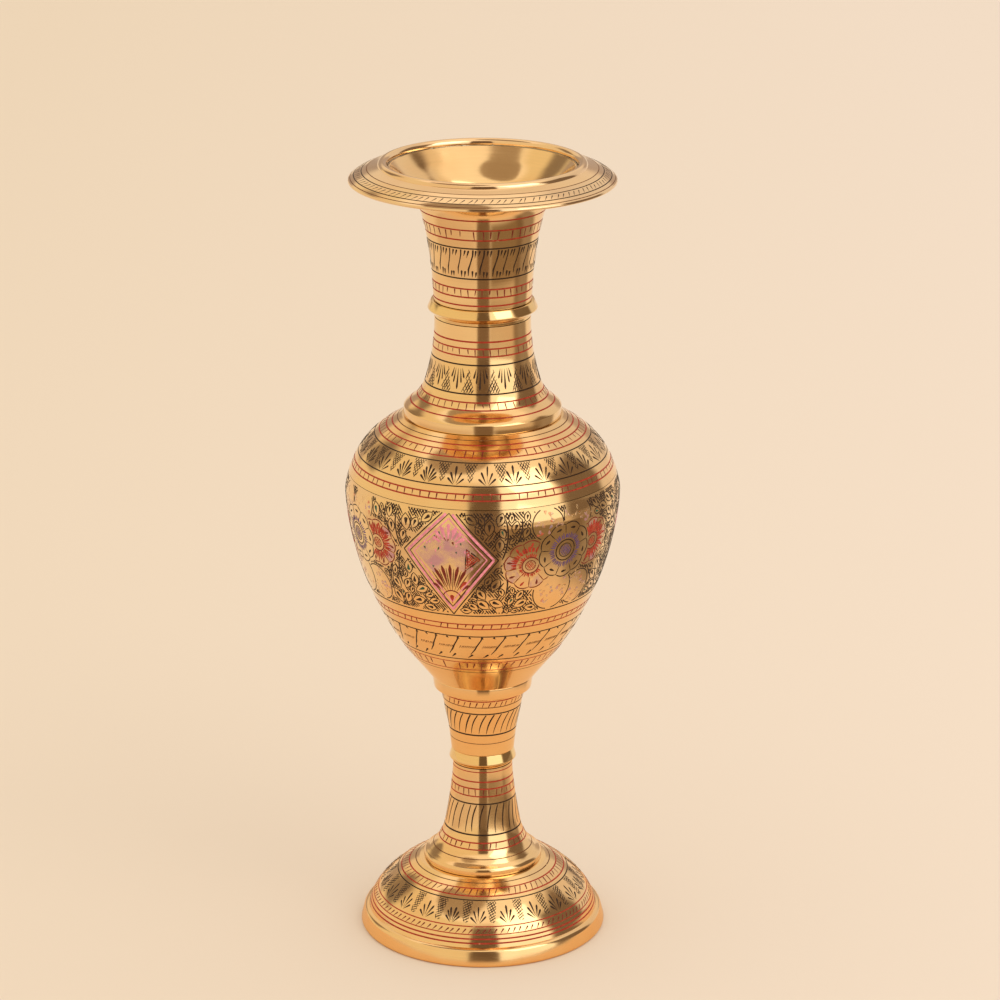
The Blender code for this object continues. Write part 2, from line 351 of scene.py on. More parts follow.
SLOTS = {
    paint: slot
    for slot, paints in {
        "red_lacquer": ("red", "dark_red", "red_wash"),
        "black_lacquer": ("black", "brown"),
        "green_lacquer": ("green",),
        "pink_lacquer": ("pink", "pink_wash"),
        "purple_lacquer": ("purple", "purple_wash"),
    }.items()
    for paint in paints
}


# Pieces


def piece(name, points, faces, paints, body, shares=None):
    """A mesh object on a body. points are in millimetres, and shares gives each face's paint by number."""
    mesh = bpy.data.meshes.new(name)
    mesh.from_pydata([tuple(c * MM for c in point) for point in points], [], faces)
    for paint in paints:
        mesh.materials.append(PAINTS[paint])
    if shares is not None:
        mesh.polygons.foreach_set("material_index", shares)
    mesh.shade_smooth()
    mesh.set_sharp_from_angle(angle=math.radians(32))
    obj = bpy.data.objects.new(name, mesh)
    bpy.context.collection.objects.link(obj)
    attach(obj, body)
    SLOTS.get(paints[0], "polished_brass")
    return obj


def turned(node, outline, body, paint="brass"):
    """The lathe mesh of a CAD node. The outline of (radius, height[, paint]) runs down and back up inside."""
    marks = [mark if len(mark) == 3 else (*mark, None) for mark in outline]
    used = [paint, *sorted({mark[2] for mark in marks if mark[2]})]
    points, rings = [], []
    for radius, height, _ in marks:
        around = SEGMENTS if radius else 1
        rings.append([len(points) + i % around for i in range(SEGMENTS)])
        points += [round_axis(radius, TURN * i / SEGMENTS, height) for i in range(around)]
    faces, shares = [], []
    spans = len(marks) if marks[0][0] else len(marks) - 1  # an outline from the axis to the axis isn't closed
    for k in range(spans):
        upper, lower = rings[k], rings[(k + 1) % len(marks)]
        for i in range(SEGMENTS):
            j = (i + 1) % SEGMENTS
            corners = [upper[i], lower[i], lower[j], upper[j]]
            faces.append([corner for n, corner in enumerate(corners) if corner != corners[n - 1]])
            shares.append(used.index(marks[k][2] or paint))
    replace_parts(piece(node + "_turned", points, faces, used, body, shares), node)


def screw_thread(name, root, crest, bottom, turns, body, inward=False):
    """A helical ridge from root to crest, with ends that fade into the wall."""
    steps, fading = 64, 10
    count = round(steps * turns)
    points, faces = [], []
    for i in range(count + 1):
        fade = min(1, i / fading, (count - i) / fading)
        rise = bottom + THREAD_PITCH * i / steps
        reach = root + (crest - root) * max(fade, 0.05)
        sink = root + (0.4 if inward else -0.4)
        for radius, up in ((sink, -0.95), (reach, -0.25), (reach, 0.25), (sink, 0.95)):
            points.append(round_axis(radius, THREAD_START + TURN * i / steps, rise + up))
    for i in range(count):
        for k in range(4):
            a, b = 4 * i + k, 4 * i + (k + 1) % 4
            faces.append([a, a + 4, b + 4, b])
    faces += [[0, 1, 2, 3], [4 * count + 3, 4 * count + 2, 4 * count + 1, 4 * count]]
    piece(name, points, [face[::-1] for face in faces] if inward else faces, ["brass"], body)


class Band:
    """A zone of a side between two heights. x runs round it and y down it, in millimetres."""

    def __init__(self, side, top, bottom):
        self.side = side
        self.start = side.run_at(top)
        self.depth = side.run_at(bottom) - self.start
        self.radius = float(side.at(self.start + self.depth / 2)[0])
        self.round = TURN * self.radius

    def place(self, x, y, lift):
        run = self.start + np.asarray(y, float)
        radius, height = self.side.at(run)
        out_r, out_z = self.side.facing(run)
        angle = np.asarray(x, float) / self.radius - math.pi / 2
        radius = radius + lift * out_r
        return np.stack([radius * np.cos(angle), radius * np.sin(angle), height + lift * out_z], axis=-1)

    def offset(self, x, y, across_x, across_y):
        """A point moved by true millimetres, wherever on the band it is."""
        radius = self.side.at(self.start + np.asarray(y, float))[0]
        return x + across_x * self.radius / radius, y + across_y

    def spots(self, count, swing, shift=0):
        """That many places round the band, each off by up to swing of the step between them."""
        for i in range(count):
            yield (i + shift + chance.uniform(-swing, swing)) * self.round / count


class Ink:
    """The marks of one colour on one casting, gathered into one piece."""

    made = []

    def __init__(self, name, paint, body):
        self.name, self.paint, self.body = name, paint, body
        self.points, self.faces, self.count = [], [], 0
        Ink.made.append(self)

    def stroke(self, band, path, widths, scale=1):
        """A mark along a path of (x, y), as wide at each point as widths says, times scale."""
        path = np.array(path, float)
        widths = CUT_SCALE * (scale * np.array(widths, float))
        along = np.gradient(path, axis=0)
        along /= np.linalg.norm(along, axis=1)[:, None] + 1e-9
        half = widths / 2
        x, y = path[:, 0], path[:, 1]
        left = band.offset(x, y, -along[:, 1] * half, along[:, 0] * half)
        right = band.offset(x, y, along[:, 1] * half, -along[:, 0] * half)
        edge_lift, sunk = 0.035, -0.12
        crown = 0.05 + np.minimum(0.08 * widths, 0.08)
        rows = [
            band.place(*left, edge_lift),
            band.place(x, y, crown),
            band.place(*right, edge_lift),
            band.place(x, y, sunk),
        ]
        base, n = self.count, len(path)
        self.points.append(np.stack(rows, axis=1).reshape(-1, 3))
        self.count += 4 * n
        for a in range(base, base + 4 * (n - 1), 4):
            for k in range(4):
                m = (k + 1) % 4
                self.faces.append((a + k, a + 4 + k, a + 4 + m, a + m))
        end = base + 4 * (n - 1)
        self.faces += [(base, base + 1, base + 2, base + 3), (end + 3, end + 2, end + 1, end)]

    def skin(self, band, corners, spacing=2.2, lift=0.02, sunk=-0.1):
        """A thin film over a convex outline, closed underneath."""
        edge = []
        for a, b in sides(corners):
            parts = max(1, math.ceil(math.dist(a, b) / spacing))
            edge += [toward(a, b, i / parts) for i in range(parts)]
        left, right = min(c[0] for c in corners), max(c[0] for c in corners)
        upper, lower = min(c[1] for c in corners), max(c[1] for c in corners)
        inner = []
        for x in np.arange(left + spacing, right, spacing):
            span = clipped((x, upper - 1), (x, lower + 1), corners)
            if span:
                inner += [(x, y) for y in np.arange(span[0][1] + 0.8, span[1][1] - 0.8, spacing)]
        loop = list(range(len(edge)))
        flat, _, faces, *_ = delaunay_2d_cdt([Vector(p) for p in edge + inner], [], [loop], 1, 1e-5)
        x, y = np.array([p[0] for p in flat]), np.array([p[1] for p in flat])
        self.points += [band.place(x, y, lift), band.place(x, y, sunk)]
        base, under = self.count, self.count + len(flat)
        self.count += 2 * len(flat)
        joins = {join for face in faces for join in sides(list(face))}
        for face in faces:
            self.faces += [[base + i for i in reversed(face)], [under + i for i in face]]
        for a, b in joins:
            if (b, a) not in joins:
                self.faces.append([base + a, base + b, under + b, under + a])

    def finish(self):
        if self.points:
            piece(self.name, np.concatenate(self.points).tolist(), self.faces, [self.paint], self.body)


# Marks


def wedge(ink, band, x, y, length, tilt, width):
    """A chisel cut that starts thin at (x, y) and fattens along its way."""
    path = [moved((x, y), pointing(tilt), length * t) for t in (0, 0.55, 0.88, 1)]
    ink.stroke(band, path, (0.12, 0.75, 1, 0.3), width)


def line(ink, band, path, width):
    """An even cut with tapered ends."""
    if len(path) == 2:
        ink.stroke(band, [path[0], toward(*path, 0.5), path[1]], (0.4, 1, 0.4), width)
    else:
        ink.stroke(band, path, [0.35] + [1] * (len(path) - 2) + [0.35], width)


def bowed(start, end, bow, count=6):
    """Points from start to end along an arc that bulges sideways by bow."""
    across = (-(end[1] - start[1]), end[0] - start[0])
    length = math.hypot(*across) or 1
    shares = [i / (count - 1) for i in range(count)]
    return [moved(toward(start, end, t), across, 4 * t * (1 - t) * bow / length) for t in shares]


def clipped(start, end, corners):
    """The part of a straight line inside a convex outline, or None."""
    low, high = 0.0, 1.0
    way = (end[0] - start[0], end[1] - start[1])
    sign = 1 if sum(a[0] * b[1] - b[0] * a[1] for a, b in sides(corners)) > 0 else -1
    for a, b in sides(corners):
        edge = (b[0] - a[0], b[1] - a[1])
        inside = sign * (edge[0] * (start[1] - a[1]) - edge[1] * (start[0] - a[0]))
        rate = sign * (edge[0] * way[1] - edge[1] * way[0])
        if abs(rate) < 1e-9:
            if inside < 0:
                return None
        elif rate > 0:
            low = max(low, -inside / rate)
        else:
            high = min(high, -inside / rate)
    return None if high - low < 1e-3 else [moved(start, way, t) for t in (low, high)]


def hatch(ink, band, corners, *cuts):
    """Parallel cuts across a convex outline for each (pitch, tilt, width)."""
    for pitch, tilt, width in cuts:
        way = pointing(tilt)
        middle = middle_of(corners)
        reach = max(math.dist(middle, corner) for corner in corners)
        steps = int(reach / pitch)
        for i in range(-steps, steps + 1):
            shift = i * pitch + chance.uniform(-0.12, 0.12) * pitch
            centre = moved(middle, (-way[1], way[0]), shift)
            kept = clipped(moved(centre, way, -reach), moved(centre, way, reach), corners)
            if kept and math.dist(*kept) > 0.7:
                line(ink, band, kept, width * chance.uniform(0.8, 1.15))


def ladder(ink, band, pitch, width, tilt=0.0, missing=0.05):
    """Rungs between two ring lines, cut by hand: uneven, and some of them short."""
    count = round(band.round / pitch)
    for i in range(count):
        if chance.random() < missing:
            continue
        x = (i + chance.uniform(-0.14, 0.14)) * band.round / count
        top, bottom = 0.12 * band.depth, 0.97 * band.depth
        if chance.random() < 0.25:
            bottom *= chance.uniform(0.6, 0.9)
        lean = band.depth * math.tan(math.radians(tilt + chance.uniform(-7, 7)))
        path = [(x + lean / 2, top), (x, (top + bottom) / 2), (x - lean / 2, bottom)]
        ink.stroke(band, path, (1, 0.85, 0.45), width * chance.uniform(0.75, 1.25))


def fan(ink, band, x, foot, height, spread, count, width):
    """Cuts that open upwards from a foot, the middle one the longest."""
    for k in range(count):
        share = 2 * k / (count - 1) - 1
        tilt = share * spread + chance.uniform(-3, 3)
        length = height * (1 - 0.42 * abs(share)) * chance.uniform(0.92, 1.05)
        skip = 0.16 * length
        way = pointing(tilt)
        start = (x + way[0] * skip * 1.2, foot + way[1] * skip + 0.5 * abs(share))
        wedge(ink, band, *start, length - skip, tilt, width * chance.uniform(0.85, 1.2))


# The castings


FOOT_KEYS = [(36.6, 40.1), (46.8, 34.8), (58.0, 25.2), (64.0, 17.2), (66.7, 10.4)]
FOOT = Side(curve(FOOT_KEYS, 14))
STEM_KEYS = [(17.2, 100.4), (17.6, 92.7), (19.1, 79.6), (22.3, 61.2), (26.0, 52.3), (31.2, 46.4)]
LOWER_STEM = Side(curve(STEM_KEYS, 12))
UPPER_STEM = Side(curve([(24.4, 146.5), (22.4, 136.2), (19.8, 123.0), (18.2, 109.3)], 12))
BOWL_KEYS = [(76.0, 277.7), (78.1, 266.5), (74.4, 240.0), (65.8, 212.4), (49.6, 180.6), (30.0, 154.8)]
BOWL_LOWER = Side(curve(BOWL_KEYS, 16))
SHOULDER_KEYS = [(45.8, 311.0), (61.2, 300.5), (70.6, 289.7), (76.0, 278.0)]
BOWL_UPPER = Side(curve(SHOULDER_KEYS, 14))
NECK_KEYS = [(27.1, 368.4), (27.5, 358.0), (28.9, 346.5), (32.6, 331.3), (36.8, 323.4), (43.4, 317.7)]
LOWER_NECK = Side(curve(NECK_KEYS, 12))
UPPER_NECK = Side(curve([(43.6, 442.6), (36.4, 433.0), (32.1, 418.6), (28.9, 397.6), (27.6, 378.3)], 14))
BRIM = Side([(60.4, 453.9), *curve([(64.2, 453.0), (71.2, 449.6), (74.6, 447.2)], 10)])


def make_foot():
    side = FOOT.engraved(
        red=[(37.0, 0.75), (34.2, 0.75), (21.3, 0.6), (17.4, 0.55), (15.1, 0.8), (12.8, 0.8)],
        black=[(32.6, 0.65)],
        brown=[(38.8, 0.55)],
    )
    base = eased([(66.7, 10.4), (68.6, 9.9), (69.6, 8.6), (71.5, 1.2), (70.6, 0), (66.5, 0)], 0.7)[1:]
    under = inset(curve(FOOT_KEYS, 5), WALL)
    turned("foot", [(26.3, 40.1), *side, *base, *reversed(under[1:]), (26.3, 37.9)], "base")


def make_lower_stem():
    side = LOWER_STEM.engraved(
        red=[(98.6, 0.5), (92.7, 0.75), (88.5, 0.75), (84.0, 0.65), (57.0, 0.75), (53.4, 0.65)],
        black=[(79.5, 0.75), (61.4, 0.85)],
        brown=[(48.9, 0.5)],
    )
    flange = eased([(31.2, 46.4), (33.4, 45.0), (34.4, 43.6), (34.4, 40.4), (26.0, 40.4)], 0.5)[1:]
    inside = [(26, 35.1), (23.8, 35.1), (23.4, 42), (21, 52), (16.6, 70), (14.35, 88.9), (14.35, 100.4)]
    turned("lower_stem", [*side, *flange, *inside], "base")
    screw_thread("stem_socket_thread", 14.35, 13.45, 90.9, 2.5, "base", inward=True)


def make_collar(node, body, bore, top, edge, bottom):
    waist = (bottom[0] + 0.3, bottom[1] + 0.4 * (edge[1] - bottom[1]))
    above_edge = (edge[0], edge[1] + 0.6)
    outline = [(bore, top[1]), top, above_edge, edge, waist, bottom, (bore, bottom[1])]
    turned(node, eased(outline, 0.35), body, "brass_deep")


def make_upper_stem():
    side = UPPER_STEM.engraved(
        red=[(145.0, 0.65)],
        black=[(136.7, 0.75), (122.6, 0.85)],
        brown=[(141.0, 0.5), (117.0, 0.4)],
    )
    ring = eased([(20.3, 154.5), (28.6, 154.5), (29.1, 153.9), (28.2, 147.5), (27.6, 147.0), (24.4, 146.5)], 0.5)
    spigot = [(13, 109.3), (13, 90.9), (10, 90.9), (10, 109.3)]
    inside = [(15.8, 119), (18.4, 134), (18.8, 144.5), (20.3, 144.5)]
    turned("upper_stem", [*ring[:-1], *side, *spigot, *inside], "bowl")
    screw_thread("stem_spigot_thread", 13.0, 14.0, 92.5, 2, "bowl")


def make_bowl():
    side = BOWL_LOWER.engraved(
        red=[(206.3, 0.75), (203.0, 0.75), (177.9, 0.6), (172.0, 0.6)],
        black=[(212.4, 0.75), (197.6, 0.75), (180.5, 0.7)],
        brown=[(169.8, 0.45)],
    )
    inner = inset(curve(BOWL_KEYS, 4), WALL)
    spigot = [(20, 154.8), (20, 144.8), (17.8, 144.8), (17.8, 154.0), (0, 154.0)]
    floor = [(0, 160.5), (24.0, 161.1)]
    turned("bowl_lower", [*floor, *reversed(inner[1:-1]), (73.8, 277.7), *side, *spigot], "bowl")

    side = BOWL_UPPER.engraved(
        red=[(307.5, 0.8), (305.4, 0.75), (302.6, 0.75), (285.9, 0.75), (282.6, 0.75)],
        black=[(300.4, 0.65), (289.7, 0.65)],
        brown=[(309.4, 0.5)],
    )
    inner = inset(curve(SHOULDER_KEYS, 5), WALL)
    lap = [(73.5, 278.0), (73.5, 273.0), (71.8, 273.0)]
    turned("bowl_upper", [(36.3, 311.2), *side, *lap, *reversed(inner[1:-1]), (36.3, 309.0)], "bowl")


def make_lower_neck():
    side = LOWER_NECK.engraved(
        red=[(360.0, 0.85), (356.1, 0.75), (351.8, 0.75), (327.0, 0.75), (323.2, 0.75), (319.8, 0.8)],
        black=[(347.0, 0.75), (331.3, 0.75)],
    )
    flange = eased([(43.4, 317.7), (44.6, 316.4), (44.6, 311.15), (36, 311.4)], 0.3)[1:]
    inside = [(36, 306.2), (33.8, 306.2), (33.6, 315), (28.6, 329), (25.8, 342), (24.45, 356.9), (24.45, 368.4)]
    turned("lower_neck", [*side, *flange, *inside], "bowl")
    screw_thread("neck_socket_thread", 24.45, 23.55, 358.9, 2.5, "bowl", inward=True)


def make_upper_neck():
    side = UPPER_NECK.engraved(
        red=[(431.0, 0.85), (425.1, 0.8), (419.2, 0.8), (390.4, 0.8), (385.6, 0.8), (380.8, 0.8)],
        black=[(414.3, 0.75), (396.4, 0.75)],
    )
    funnel = curve([(20.8, 370.3), (25.6, 390.0), (29.0, 416.0), (34.4, 434.0), (45.0, 446.0), (51.4, 453.6)], 8)
    spigot = [(23.1, 378.3), (23.1, 358.9), (20.8, 358.9)]
    turned("upper_neck", [(52.6, 453.6), (52.6, 448.2), *side, *spigot, *funnel], "mouth")
    screw_thread("neck_spigot_thread", 23.1, 24.1, 360.5, 2, "mouth")


def make_mouth_ring():
    side = BRIM.engraved(black=[(451.5, 0.55), (449.3, 0.55)], brown=[(452.9, 0.45), (447.9, 0.45)])
    edge = eased([(74.6, 447.2), (75.0, 446.2), (74.0, 445.3), (52.9, 446.9)], 0.4)[1:]
    turned("mouth_ring", [*arc((55.7, 454.4), 2.8, 180, 6, 18), *side, *edge], "mouth", "brass_pink")


def make_solder():
    """The lumpy bead of solder in the seam between the neck's rim and the lip."""
    seam, around, corners = (52.5, 453.5), 420, 6
    points, faces = [], []
    bulge = [chance.uniform(0.25, 0.5) for _ in range(around)]
    for i in range(around):
        size = (bulge[i - 1] + bulge[i] + bulge[(i + 1) % around]) / 3
        if chance.random() < 0.06:
            size *= 1.6
        for k in range(corners):
            radius, height = moved(seam, sector(360 * k / corners), size)
            points.append(round_axis(radius, TURN * i / around, height))
            a, b = i * corners, (i + 1) % around * corners
            faces.append([a + k, b + k, b + (k + 1) % corners, a + (k + 1) % corners])
    piece("solder_seam", points, faces, ["solder"], "mouth")


# The engraving of the bands


def begin(name, side, body, *ladders):
    """Inks for a casting's rungs and cuts, with its ladders cut: (top, bottom, pitch, width, tilt, missing)."""
    rungs, cuts = Ink(name + "_rungs", "dark_red", body), Ink(name + "_cuts", "black", body)
    for top, bottom, *shape in ladders:
        ladder(rungs, Band(side, top, bottom), *shape)
    return rungs, cuts


def engrave_upper_neck():
    _, cuts = begin("upper_neck", UPPER_NECK, "mouth", (425.1, 419.2, 4.4, 0.62), (390.4, 385.6, 4.2, 0.6))
    band = Band(UPPER_NECK, 414.3, 396.4)
    for x in band.spots(28, 0.08):
        lean = chance.uniform(2.2, 3.2)
        foot = band.depth - chance.uniform(1.4, 3.0)
        path = [(x + lean * 0.5, 0.8), (x + lean * 0.42, 0.25 * foot), (x + 0.1, 0.5 * foot),
                (x - lean * 0.42, 0.76 * foot), (x - lean * 0.5, foot)]
        cuts.stroke(band, path, (0.9, 0.75, 0.6, 0.85, 0.3), chance.uniform(0.75, 1.0))
        for shift in (3.4, 5.2):
            length = chance.uniform(3.6, 5.2)
            wedge(cuts, band, x + shift - 0.2 * length, 0.9 + length, length, chance.uniform(8, 18), 0.9)
        for shift in (0.8, 2.6):
            length = chance.uniform(3.0, 4.2)
            wedge(cuts, band, x + shift, band.depth - 1.0, length, chance.uniform(2, 12), 0.95)


def engrave_lower_neck():
    _, cuts = begin("lower_neck", LOWER_NECK, "bowl", (356.1, 351.8, 4.4, 0.5, 0, 0.12), (327.0, 323.2, 4.5, 0.5))
    band = Band(LOWER_NECK, 347.0, 331.3)
    count = 14
    for x in band.spots(count, 0.04, 0.45):
        foot = band.depth - 0.5
        hatch(cuts, band, [(x, 1.4), (x + 3.5, foot), (x - 3.7, foot)], (1.35, 26, 0.55), (1.7, -24, 0.36))
        middle = x + band.round / count / 2
        wedge(cuts, band, middle, 2.4, foot - 4.2, 180 + chance.uniform(-3, 3), 0.95)
        for side in (-1, 1):
            wedge(cuts, band, middle + side * 1.5, 2.2, 8.2, 180 - side * 6, 0.75)
            wedge(cuts, band, middle + side * 2.6, 2.0, 5.6, 180 - side * 13, 0.85)


def engrave_shoulder():
    _, cuts = begin("shoulder", BOWL_UPPER, "bowl", (305.4, 302.6, 5.0, 0.6), (285.9, 282.6, 5.2, 0.62))
    band = Band(BOWL_UPPER, 300.4, 289.7)
    count = 26
    for x in band.spots(count, 0.05, 0.1):
        fan(cuts, band, x, band.depth - 0.6, band.depth - 2.6, 44, chance.choice((5, 5, 7)), 0.95)
        middle, low = x + band.round / count / 2, band.depth - 2.4
        corners = [(middle - 4.0, 0.6), (middle + 4.0, 0.6), (middle + 0.7, low), (middle - 0.7, low)]
        hatch(cuts, band, corners, (1.35, 33, 0.5), (1.45, -33, 0.45))


def engrave_foot():
    rungs, cuts = begin("foot", FOOT, "base", (37.0, 34.2, 3.8, 0.6, 14))
    band = Band(FOOT, 21.3, 17.4)
    for x in band.spots(108, 0.12):
        wedge(rungs, band, x - 0.9, 0.94 * band.depth, 0.8 * band.depth, 38 + chance.uniform(-6, 6), 0.75)
    band = Band(FOOT, 32.6, 21.3)
    count = 22
    for x in band.spots(count, 0.06, -0.12):
        fan(cuts, band, x, band.depth - 1.5, 11.0, 42, chance.choice((5, 5, 6)), 0.95)
        middle, low = x + band.round / count / 2, band.depth - 2.2
        corners = [(middle - 3.4, 0.7), (middle + 3.2, 0.7), (middle + 1.3, low), (middle - 1.5, low)]
        hatch(cuts, band, corners, (1.4, 58, 0.55), (1.5, -20, 0.42))


def engrave_stems():
    _, cuts = begin("upper_stem", UPPER_STEM, "bowl", (144.6, 141.2, 3.6, 0.5, 16))
    band = Band(UPPER_STEM, 136.7, 122.6)
    for x in band.spots(30, 0.1):
        path = bowed((x + 2.0, 0.7), (x - 2.1, band.depth - 1.0), chance.uniform(0.4, 0.9))
        cuts.stroke(band, path, (0.9, 1, 1, 0.85, 0.6, 0.25), chance.uniform(0.55, 0.8))

    _, cuts = begin("lower_stem", LOWER_STEM, "base", (88.5, 84.0, 3.9, 0.55), (57.0, 53.4, 4.1, 0.6, 6))
    band = Band(LOWER_STEM, 79.5, 61.4)
    for x in band.spots(29, 0.1):
        foot = (x - 1.3, band.depth - chance.uniform(0.8, 2.4))
        path = bowed((x + 1.0, 0.7), foot, chance.uniform(0.6, 1.2))
        cuts.stroke(band, path, (0.7, 1, 0.9, 0.85, 0.8, 0.3), chance.uniform(0.55, 0.8))


def engrave_brim():
    cuts = Ink("brim_cuts", "black", "mouth")
    band = Band(BRIM, 451.5, 449.3)
    for x in band.spots(112, 0.15):
        wedge(cuts, band, x - 0.7, 0.9 * band.depth, 0.85 * band.depth, 36 + chance.uniform(-8, 8), 0.5)


def engrave_bowl_base():
    _, cuts = begin(
        "bowl_base", BOWL_LOWER, "bowl", (206.3, 203.0, 4.9, 0.62, 10), (177.9, 172.0, 4.4, 0.62, 8),
    )
    combs = Ink("bowl_base_combs", "brown", "bowl")
    band = Band(BOWL_LOWER, 197.6, 180.5)
    count, ticks = 27, 9
    step, foot = band.round / count, band.depth - 4.5
    for x in band.spots(count, 0.06):
        path = [(x, 0.6), (x - 0.9, 0.22 * foot), (x - 3.0, 0.5 * foot), (x - 4.4, 0.72 * foot), (x - 7.0, foot)]
        cuts.stroke(band, path, (0.9, 0.6, 0.7, 0.75, 0.3))
        for shift in (0.5, step / 2 + 0.5):
            wedge(cuts, band, x + shift, 2.0, 1.7, -40, 1.1)
        for k in range(ticks):
            shift = k * (step - 4.0) / ticks - 0.4
            wedge(combs, band, x + shift, 0.5 * band.depth, 2.4, 35 + chance.uniform(-6, 6), 0.45)
    for x in band.spots(37, 0.1):
        wedge(cuts, band, x, band.depth - 1.4, 4.4, 44 + chance.uniform(-6, 6), 1.05)


# The bowl's main panel: diamonds, flower groups and leaves on a hatched ground


PANEL = Band(BOWL_LOWER, 277.4, 212.8)
DIAMONDS = [math.radians(degrees) * PANEL.radius for degrees in (-14, 99, -127)]
FLOWERS = [math.radians(degrees) * PANEL.radius for degrees in (37, 160, -66)]
HALF_WIDE = 27.5
PEAK = -3.0  # the diamonds run off the panel's top line
WAIST = 0.415 * PANEL.depth
SLANT = 1.5
EDGE_DEPTH = 20.5  # from a diamond's edges in to its middle
FLOWER_HEIGHT = 0.44 * PANEL.depth
CELL = 0.3  # of the map of free ground
DISCS = [  # the rosettes, the purple one of each group on top
    (x + shift, FLOWER_HEIGHT + drop, radius, colour)
    for x in FLOWERS
    for shift, drop, radius, colour in (
        (0, -1.5, 17.0, "purple"), (-21.5, 4.5, 15.4, "red"), (21.0, -2.0, 14.0, "red"),
    )
]
LOBES = [  # the broad plain petals behind each flower group
    (x + shift, y, radius)
    for x in FLOWERS
    for shift, y, radius in (
        (-12, 10, 9.5), (8, 8, 10), (-5, PANEL.depth - 14, 13), (14, PANEL.depth - 12, 11),
    )
]


def round_to(x):
    """x as the nearest way round to 0."""
    return (x + PANEL.round / 2) % PANEL.round - PANEL.round / 2


def diamond_depth(x, y, centre):
    """How far inside a diamond a point is, in millimetres from its nearest edge, negative outside."""
    across = round_to(x - centre)
    y = y - SLANT * across / HALF_WIDE
    high = np.where(y < WAIST, WAIST - PEAK, PANEL.depth - WAIST)
    share = 1 - abs(across) / HALF_WIDE - abs(y - WAIST) / high
    return share * HALF_WIDE * high / np.hypot(HALF_WIDE, high)


def near_disc(x, y, discs, margin):
    return any(math.hypot(round_to(x - disc[0]), y - disc[1]) < disc[2] + margin for disc in discs)


class Ground:
    """The cells of the panel that no motif has taken yet."""

    def __init__(self):
        self.size = (round(PANEL.depth / CELL), round(PANEL.round / CELL))
        y, x = np.indices(self.size)
        self.x, self.y = (x + 0.5) * PANEL.round / self.size[1], (y + 0.5) * CELL
        self.free = (self.y > 0.9) & (self.y < PANEL.depth - 0.9)
        for centre in DIAMONDS:
            self.free &= diamond_depth(self.x, self.y, centre) < -0.9
        for disc in DISCS + LOBES:
            self.free &= np.hypot(round_to(self.x - disc[0]), self.y - disc[1]) > disc[2] + 0.7

    def open(self, points):
        points = np.asarray(points, float)
        column = (points[:, 0] % PANEL.round / PANEL.round * self.size[1]).astype(int) % self.size[1]
        row = (points[:, 1] / CELL).astype(int)
        inside = (row >= 0) & (row < self.size[0]) & (points[:, 1] > 0)
        return inside & self.free[np.clip(row, 0, self.size[0] - 1), column]

    def take(self, middle, way, long, wide):
        """Marks an oval as taken."""
        reach = math.ceil((max(long, wide) + 0.5) / CELL)
        row = int(middle[1] / CELL)
        rows = slice(max(row - reach, 0), row + reach + 1)
        dx, dy = round_to(self.x[rows] - middle[0]), self.y[rows] - middle[1]
        along, across = dx * way[0] + dy * way[1], dx * way[1] - dy * way[0]
        self.free[rows] &= (along / long) ** 2 + (across / wide) ** 2 > 1


def rosette(inks, disc, above):
    """A flower: hatched eye, rings of comb cuts, and petals with one dash each. above lists discs over it."""
    cx, cy, radius, colour = disc
    purple = colour == "purple"
    outline = inks["black" if purple else "dark_red"]

    def polar(reach, degrees):
        return moved((cx, cy), sector(degrees), reach)

    def clear(point):
        return not near_disc(*point, above, 0.5) and 0.8 < point[1] < PANEL.depth - 0.8

    def trace(path, width):
        for run in stretches(path, clear, 2):
            line(outline, PANEL, run, width)

    def comb(inner, outer, teeth, width, low=0, high=360):
        for k in range(teeth):
            angle = 360 * k / teeth + chance.uniform(-2, 2)
            if low <= angle % 360 <= high:
                start, end = inner + chance.uniform(-0.3, 0.3), outer + chance.uniform(-0.6, 0.5)
                path = [polar(reach, angle) for reach in (start, (start + end) / 2, end)]
                if all(map(clear, path)):
                    inks[colour].stroke(PANEL, path, (0.8, 1, 0.45), width)

    eye, bare, heart = (3.8, 6.3, 10.6) if purple else (2.7, 5.0, 7.6)
    rim = 0.93 * radius
    petals = 9
    wide = 360 / petals
    phase = chance.uniform(0, 40)
    for k in range(petals):
        start = phase + 360 * k / petals
        bulge = [0.92 + 0.08 * math.sin(math.pi * t / 6) for t in range(7)]
        trace([polar(radius * share, start + t * wide / 6) for t, share in enumerate(bulge)], 0.55)
        trace([polar(reach, start) for reach in (heart, (heart + radius) / 2, rim)], 0.5)
        middle = start + wide / 2 + chance.uniform(-4, 4)
        spot = polar(radius * 0.80, middle)
        if clear(spot):
            way = sector(middle + (90 if purple else 15) + chance.uniform(-20, 20))
            dash = inks["black" if purple else chance.choice(("red", "dark_red"))]
            dash.stroke(PANEL, [moved(spot, way, shift) for shift in (-1.6, 0.3, 1.6)], (0.4, 1.2, 0.7))
        first, last = start + 3, start + wide - 3
        petal = [
            polar(heart + 1, first), polar(rim, first), polar(radius * 0.97, middle),
            polar(rim, last), polar(heart + 1, last),
        ]
        if not purple and chance.random() < 0.6 and all(map(clear, petal)):
            inks["pink_wash"].skin(PANEL, petal)
    if purple:
        comb(7.4, 10.4, 46, 0.6)
    else:
        comb(5.3, 7.4, 34, 0.7)
        comb(8.4, 11.6, 54, 0.8, 170, 330)
        if round_to(cx - min(FLOWERS, key=lambda x: abs(round_to(cx - x)))) > 0:
            comb(6.6, 10.6, 38, 0.9)
    trace([polar(bare, 10 * k) for k in range(37)], 0.6)
    trace([polar(eye + 0.3, 12 * k) for k in range(31)], 0.4)
    core = [polar(eye, 45 * k) for k in range(8)]
    if all(map(clear, core)):
        hatch(inks[colour], PANEL, core, (1.1, 35, 0.42), (1.3, -40, 0.36))


